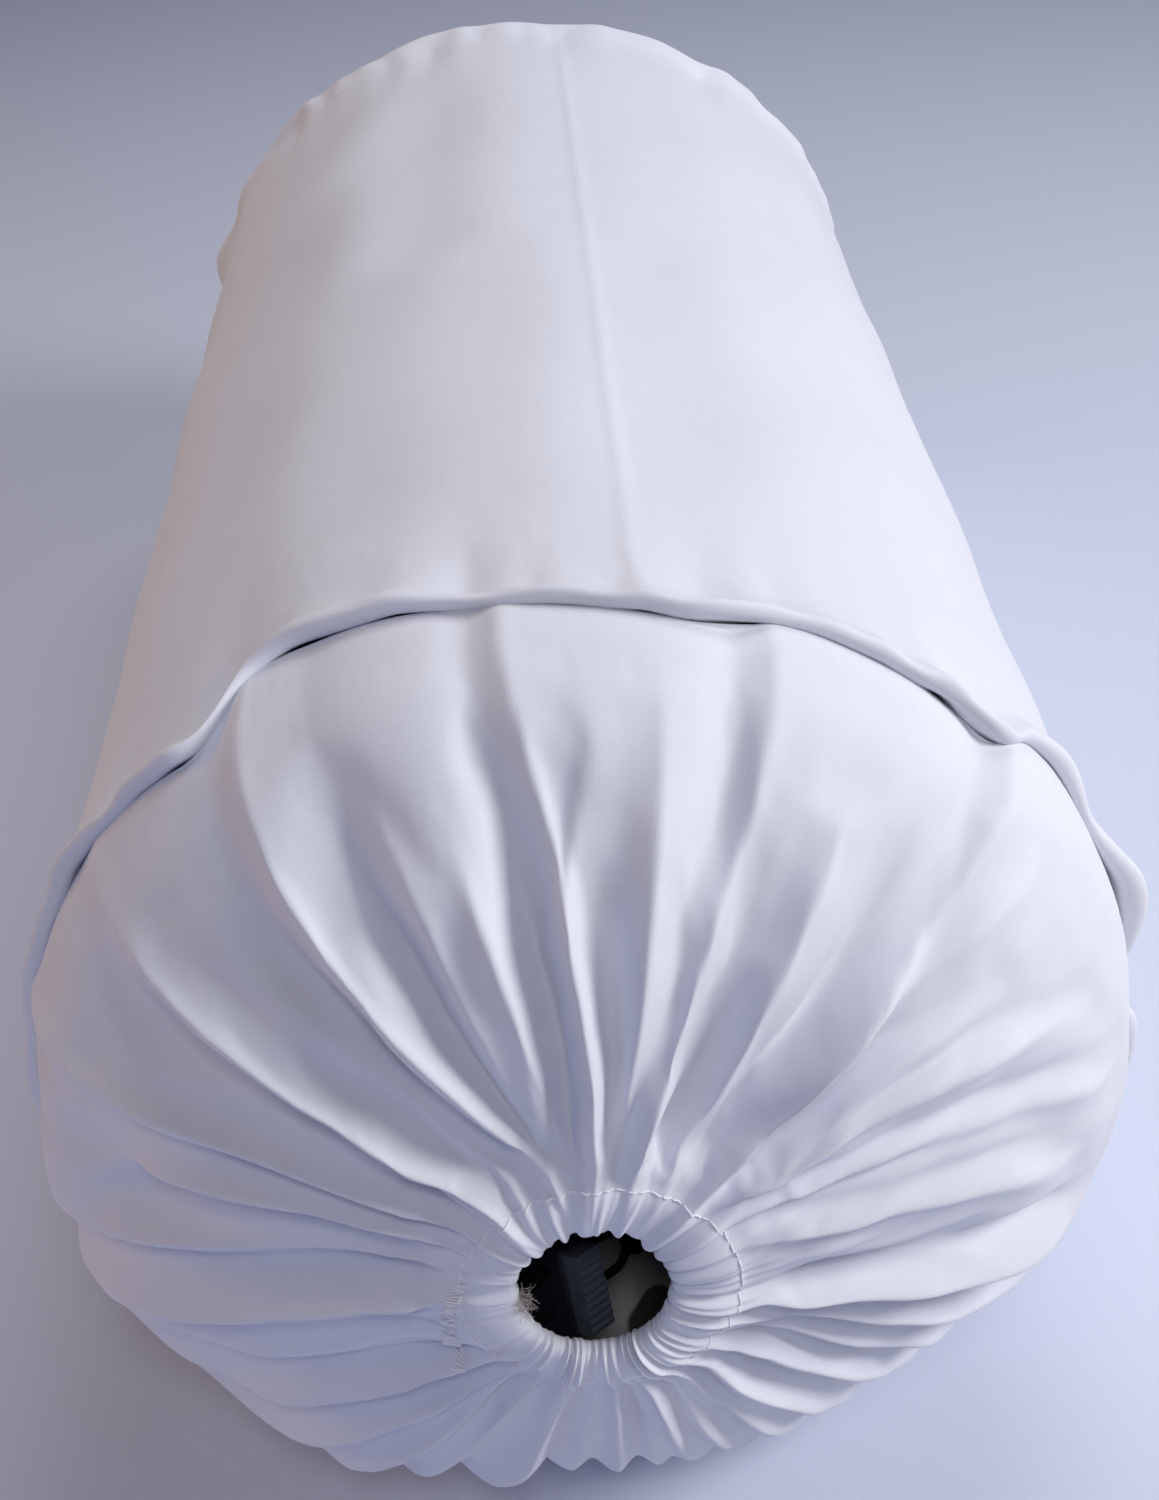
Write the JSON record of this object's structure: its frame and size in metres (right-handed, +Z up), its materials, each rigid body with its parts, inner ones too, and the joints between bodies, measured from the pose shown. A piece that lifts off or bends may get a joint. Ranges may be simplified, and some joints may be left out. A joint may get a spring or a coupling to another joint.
{
  "type": "bolster pillow",
  "caption": "Long round bolster pillow in a removable white cotton cover, each end gathered by a drawstring with a spring cord lock.",
  "frame": {"origin": "on the surface the bolster lies on, under the middle of the bolster", "axes": "+Y along the bolster towards its rear end, the front end with its mouth faces -Y, +X to the right seen from the front, +Z up"},
  "size_m": [0.271, 0.6218, 0.2336],
  "materials": {
    "cover_cotton": "white plain-weave cotton, matt",
    "case_cotton": "off-white plain-weave cotton, matt",
    "fibre": "loose fibre filling",
    "elastic_cord": "black braided elastic cord",
    "lock_plastic": "black moulded plastic, satin",
    "button_plastic": "black moulded plastic, satin, ribbed top",
    "spring_steel": "bright spring wire"
  },
  "bodies": {
    "pillow": {"cover_body": "cover_cotton", "cover_front_end": "cover_cotton", "cover_rear_end": "cover_cotton", "front_casing": "cover_cotton", "rear_casing": "cover_cotton", "case_tube": "case_cotton", "case_front_end": "case_cotton", "case_rear_end": "case_cotton", "filling": "fibre", "front_drawstring": "elastic_cord", "rear_drawstring": "elastic_cord"},
    "front_cord_lock": {"front_lock_housing": "lock_plastic", "front_lock_spring": "spring_steel"},
    "front_button": {"front_lock_button": "button_plastic"},
    "rear_cord_lock": {"rear_lock_housing": "lock_plastic", "rear_lock_spring": "spring_steel"},
    "rear_button": {"rear_lock_button": "button_plastic"}
  },
  "joints": [
    {"name": "front_lock_slide", "type": "slide", "parent": "pillow", "child": "front_cord_lock", "axis": [0.6898, 0.6908, -0.2169], "range_m": [0, 0.01]},
    {"name": "front_button_press", "type": "slide", "parent": "front_cord_lock", "child": "front_button", "axis": [-0.7126, 0.5947, -0.3721], "range_m": [0, 0.0038], "stiffness_N_per_m": 1200, "springref_m": -0.002, "deforming": ["front_lock_spring"]},
    {"name": "rear_lock_slide", "type": "slide", "parent": "pillow", "child": "rear_cord_lock", "axis": [-0.6898, -0.6908, -0.2169], "range_m": [0, 0.01]},
    {"name": "rear_button_press", "type": "slide", "parent": "rear_cord_lock", "child": "rear_button", "axis": [0.7126, -0.5947, -0.3721], "range_m": [0, 0.0038], "stiffness_N_per_m": 1200, "springref_m": -0.002, "deforming": ["rear_lock_spring"]}
  ]
}
